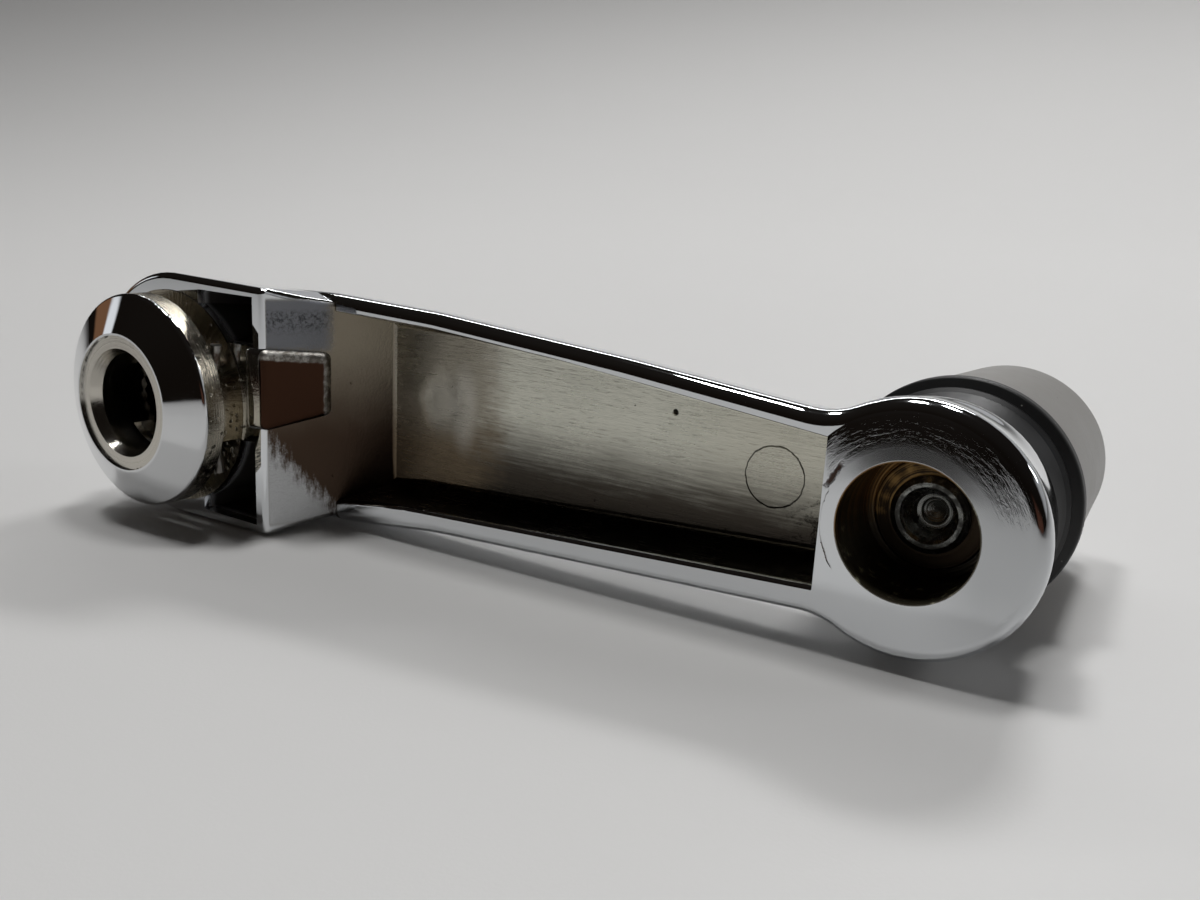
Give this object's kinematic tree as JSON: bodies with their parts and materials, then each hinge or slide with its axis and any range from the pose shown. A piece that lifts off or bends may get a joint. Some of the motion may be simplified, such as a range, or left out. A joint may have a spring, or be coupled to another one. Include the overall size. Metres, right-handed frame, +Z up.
{
  "type": "crank handle",
  "caption": "Chrome window crank handle with an open-backed tapering arm, a splined conical hub nose and a free-turning grey knob on a black collar.",
  "frame": {"origin": "on the spindle axis, where the straight bore begins just inside the nose's mouth", "axes": "+X from the spindle axis to the knob axis, +Y along the spindle away from the door towards the knob, +Z up across the arm"},
  "size_m": [0.1303, 0.06, 0.0338],
  "materials": {
    "chrome_casting": "mirror chrome outside, satin plate in the recesses",
    "nose_chrome": "mirror chrome cone with a rough, pitted nickel flank",
    "nickel_steel": "bright plated steel",
    "spring_steel": "oiled spring wire",
    "rivet_steel": "turned steel",
    "washer_brass": "tarnished brass",
    "black_gloss": "gloss black moulding",
    "grey_grip": "satin warm grey",
    "bearing_plastic": "natural bearing plastic",
    "cap_grey": "satin warm grey"
  },
  "bodies": {
    "crank": {"arm": "chrome_casting", "hub_nose": "nose_chrome", "spindle_bush": "nickel_steel", "retaining_clip": "spring_steel", "knob_stud": "rivet_steel", "stud_washer": "washer_brass"},
    "knob": {"knob_collar": "black_gloss", "knob_grip": "grey_grip", "knob_bush": "bearing_plastic", "knob_cap": "cap_grey"}
  },
  "joints": [
    {"name": "knob_spin", "type": "hinge", "parent": "crank", "child": "knob", "pos_m": [0.1, 0.04, 0], "axis": [0, 1, 0], "continuous": true}
  ]
}
